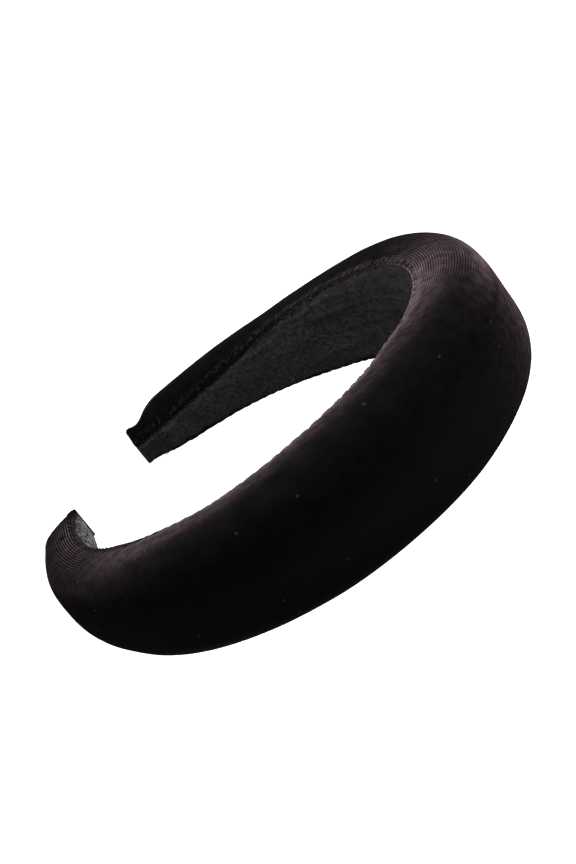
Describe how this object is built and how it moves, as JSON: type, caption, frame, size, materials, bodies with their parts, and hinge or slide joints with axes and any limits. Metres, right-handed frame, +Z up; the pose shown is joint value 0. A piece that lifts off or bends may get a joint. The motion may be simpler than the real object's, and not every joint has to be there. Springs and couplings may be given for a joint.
{
  "type": "padded headband",
  "caption": "Wide padded velvet headband with a springy core, a foam pad, a woven inner lining and two narrow flat tips.",
  "frame": {"origin": "under the crown, midway between the two tips, level with the lowest point of the band", "axes": "as worn: +X from the centre towards the wearer's right arm of the band, +Y towards the front edge, +Z up towards the crown"},
  "size_m": [0.1628, 0.042, 0.1631],
  "materials": {
    "black_velvet": "matte",
    "lining_weave": "matte",
    "hoop_plastic": "satin",
    "pad_foam": "matte",
    "foam_adhesive": "satin",
    "sewing_thread": "satin",
    "dried_adhesive": "gloss"
  },
  "bodies": {
    "left_half": {"core_hoop_left": "hoop_plastic", "foam_tape_left": "foam_adhesive", "foam_pad_left": "pad_foam", "velvet_cover_left": "black_velvet", "inner_lining_left": "lining_weave", "seam_thread_front_left": "sewing_thread", "seam_thread_rear_left": "sewing_thread", "tip_seal_left": "dried_adhesive"},
    "right_half": {"core_hoop_right": "hoop_plastic", "foam_tape_right": "foam_adhesive", "foam_pad_right": "pad_foam", "velvet_cover_right": "black_velvet", "inner_lining_right": "lining_weave", "seam_thread_front_right": "sewing_thread", "seam_thread_rear_right": "sewing_thread", "tip_seal_right": "dried_adhesive"}
  },
  "joints": [
    {"name": "crown_flex", "type": "hinge", "parent": "left_half", "child": "right_half", "pos_m": [0, 0, 0.16307], "axis": [0, -1, 0], "range_deg": [0, 30], "stiffness_Nm_per_rad": 0.6}
  ]
}
